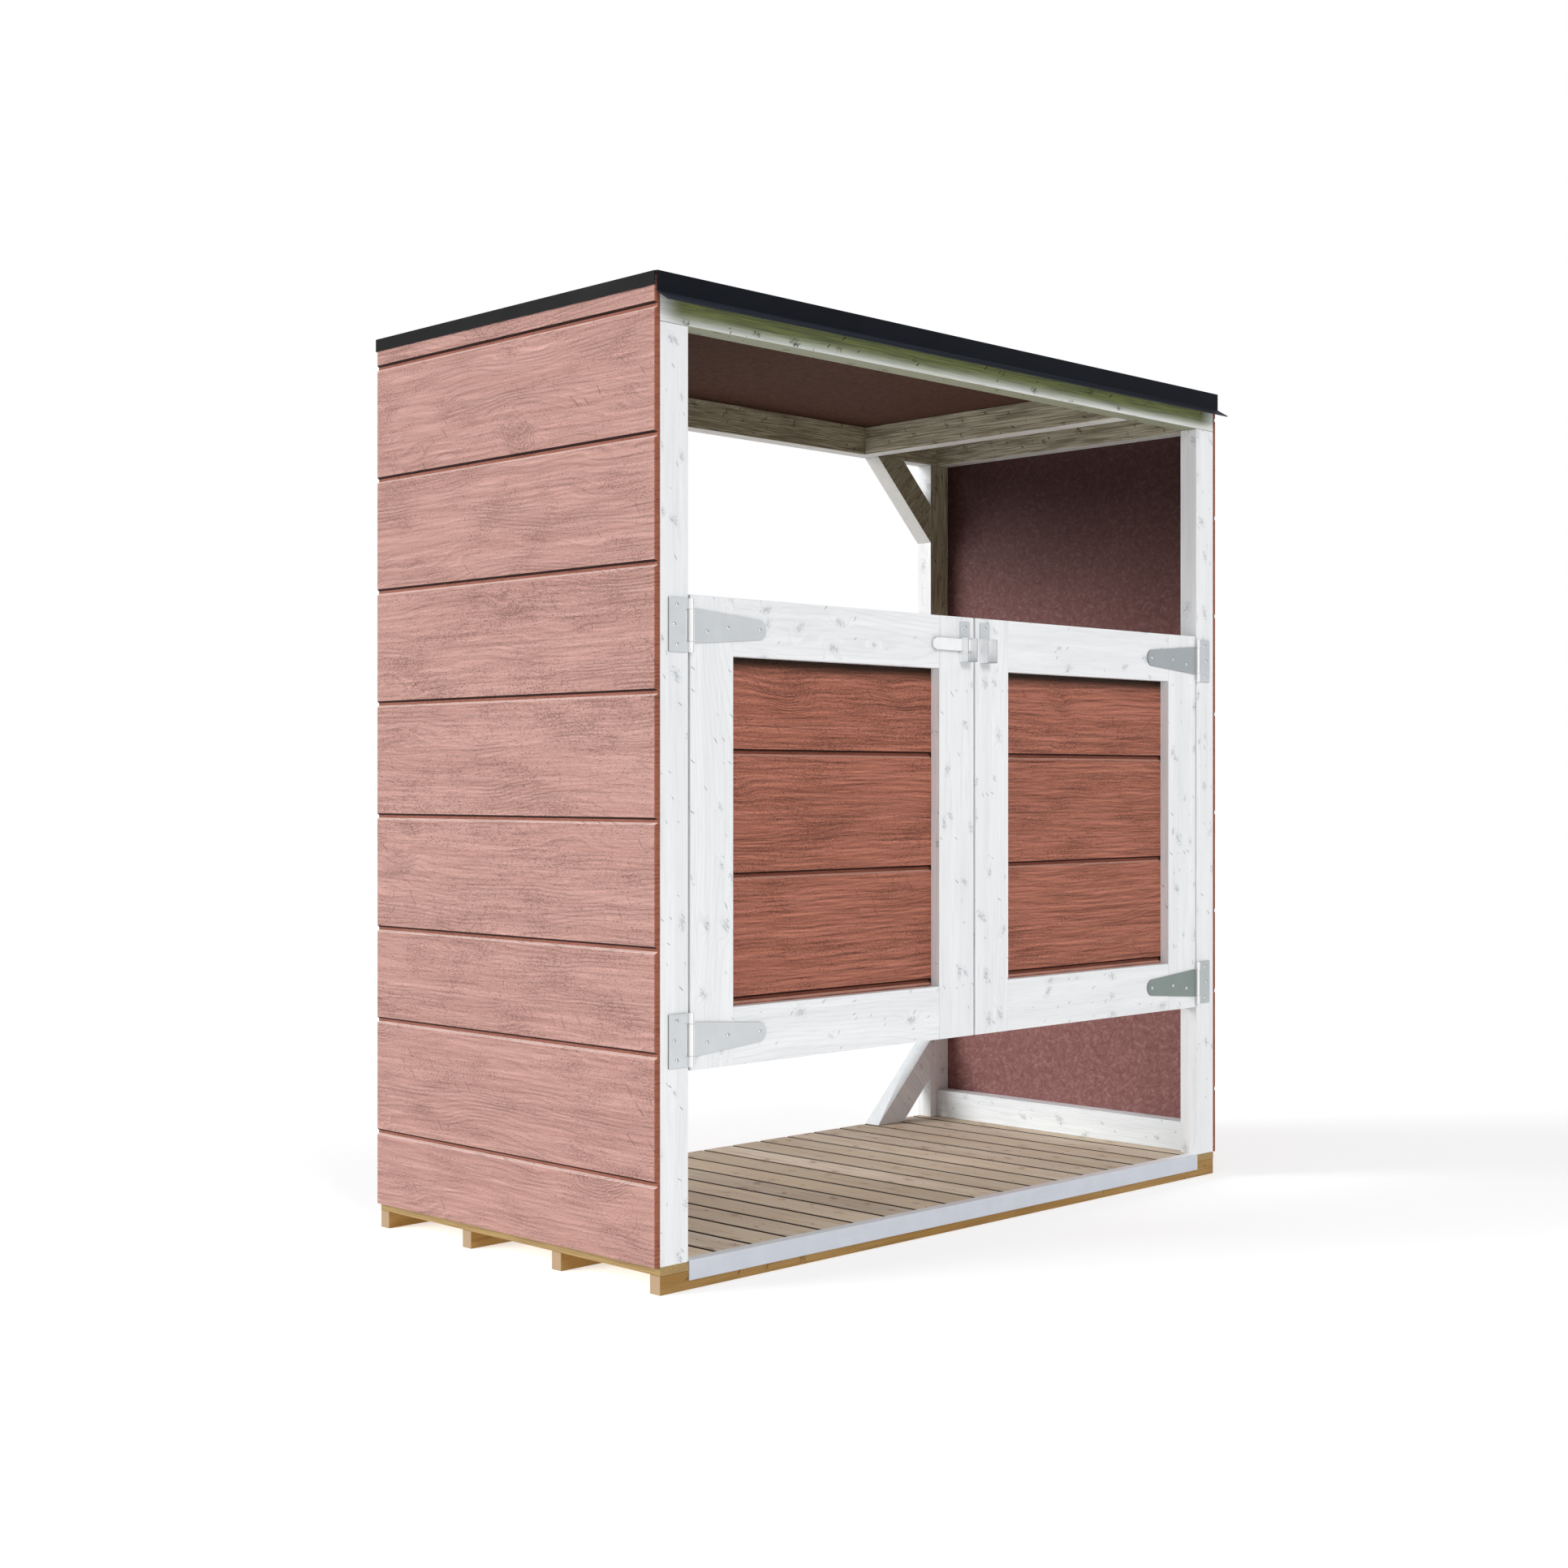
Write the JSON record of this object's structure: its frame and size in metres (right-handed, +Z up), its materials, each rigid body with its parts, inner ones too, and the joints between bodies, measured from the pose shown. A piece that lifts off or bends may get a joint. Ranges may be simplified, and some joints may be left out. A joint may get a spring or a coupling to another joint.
{
  "type": "bin store shelter",
  "caption": "Timber bin store shelter with boarded floor, grooved side walls, flat felted roof, open back and a pair of half-height hinged doors with a sliding latch bar.",
  "frame": {"origin": "under the middle of the shelter's overall box, on the ground plane", "axes": "+Z up, -Y to the front where the doors are, +X to the right seen from the front"},
  "size_m": [1.889, 0.9624, 1.9575],
  "materials": {
    "honey_timber": "planed, unpainted",
    "deck_timber": "planed boards, unpainted",
    "white_timber": "white translucent stain",
    "red_sheet": "red stained moulded strand board",
    "ceiling_board": "red primed strand board",
    "roofing": "matte bitumen felt",
    "black_trim": "satin black",
    "aluminium": "anodised",
    "galvanised": "galvanised"
  },
  "bodies": {
    "shelter": {"front_joist": "honey_timber", "middle_joist_front": "honey_timber", "middle_joist_rear": "honey_timber", "rear_joist": "honey_timber", "floor_deck": "deck_timber", "left_front_post": "white_timber", "left_rear_post": "white_timber", "left_end_beam": "white_timber", "left_bottom_rail": "white_timber", "left_rear_top_brace": "white_timber", "left_rear_foot_brace": "white_timber", "right_front_post": "white_timber", "right_rear_post": "white_timber", "right_end_beam": "white_timber", "right_bottom_rail": "white_timber", "right_rear_top_brace": "white_timber", "right_rear_foot_brace": "white_timber", "front_beam": "white_timber", "rear_beam": "white_timber", "cross_beam": "white_timber", "left_wall_panel": "red_sheet", "right_wall_panel": "red_sheet", "roof_board": "ceiling_board", "roof_covering": "roofing", "left_roof_trim": "black_trim", "right_roof_trim": "black_trim", "front_drip_edge": "black_trim", "rear_roof_trim": "black_trim", "threshold_strip": "aluminium", "left_upper_hinge_plate": "galvanised", "left_lower_hinge_plate": "galvanised", "right_upper_hinge_plate": "galvanised", "right_lower_hinge_plate": "galvanised"},
    "left_door": {"left_door_hinge_stile": "white_timber", "left_door_meeting_stile": "white_timber", "left_door_top_rail": "white_timber", "left_door_bottom_rail": "white_timber", "left_door_panel": "red_sheet", "left_upper_hinge_strap": "galvanised", "left_lower_hinge_strap": "galvanised", "left_latch_bracket": "galvanised"},
    "right_door": {"right_door_hinge_stile": "white_timber", "right_door_meeting_stile": "white_timber", "right_door_top_rail": "white_timber", "right_door_bottom_rail": "white_timber", "right_door_panel": "red_sheet", "right_upper_hinge_strap": "galvanised", "right_lower_hinge_strap": "galvanised", "right_latch_bracket": "galvanised"},
    "latch_bar": {"latch_bar": "galvanised"}
  },
  "joints": [
    {"name": "left_door_hinge", "type": "hinge", "parent": "shelter", "child": "left_door", "pos_m": [-0.8545, -0.45155, 0.884], "axis": [0, 0, -1], "range_deg": [0, 165]},
    {"name": "right_door_hinge", "type": "hinge", "parent": "shelter", "child": "right_door", "pos_m": [0.8545, -0.45155, 0.884], "axis": [0, 0, 1], "range_deg": [0, 165]},
    {"name": "latch_bar_slide", "type": "slide", "parent": "left_door", "child": "latch_bar", "axis": [1, 0, 0], "range_m": [0, 0.049]}
  ]
}
